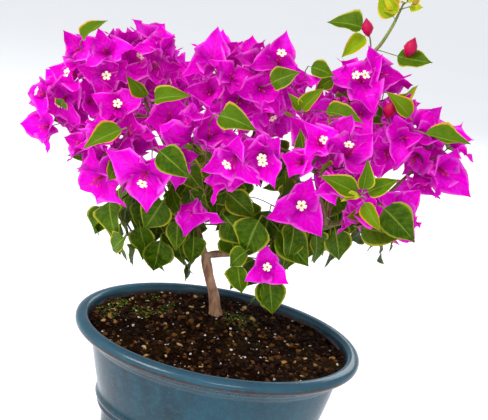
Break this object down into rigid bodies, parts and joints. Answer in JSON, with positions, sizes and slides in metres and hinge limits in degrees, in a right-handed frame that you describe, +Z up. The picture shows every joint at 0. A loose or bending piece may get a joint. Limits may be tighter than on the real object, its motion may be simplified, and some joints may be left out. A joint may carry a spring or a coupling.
{
  "type": "potted bougainvillea",
  "caption": "Small flowering bougainvillea trained as a bonsai, with a leaning forked trunk and a broad crown of pink-purple bracts, growing in an oval glazed pot.",
  "frame": {"origin": "centre of the pot's flat underside, on the surface that the pot stands on", "axes": "+Z up; +X along the pot's long side, to the right as seen from the plant's front; +Y towards the back"},
  "size_m": [0.4444, 0.3137, 0.4979],
  "materials": {
    "glaze": "gloss",
    "soil": "matte",
    "bark": "matte",
    "green_stem": "satin",
    "bracts": "matte",
    "leaves": "satin"
  },
  "bodies": {
    "root": {"pot": "glaze", "soil": "soil", "trunk": "bark", "leader_bough": "bark", "right_bough": "bark", "left_bough": "bark", "back_bough": "bark", "shoot_stem": "green_stem", "shoot_tip_leaves": "leaves", "shoot_left_leaves": "leaves", "shoot_right_leaves": "leaves", "hanging_leaves": "leaves", "bloom_far_left": "bracts", "bloom_far_right": "bracts", "bloom_low_left": "bracts", "bloom_low_right": "bracts", "bloom_front": "bracts", "bloom_front_right": "bracts", "bloom_top_left": "bracts", "bloom_top_right": "bracts", "bloom_top": "bracts", "bloom_back_left": "bracts", "bloom_back_right": "bracts", "bloom_back": "bracts", "leaves_low_left": "leaves", "leaves_low_right": "leaves", "leaves_right": "leaves", "leaves_middle": "leaves", "leaves_back": "leaves"}
  },
  "joints": []
}
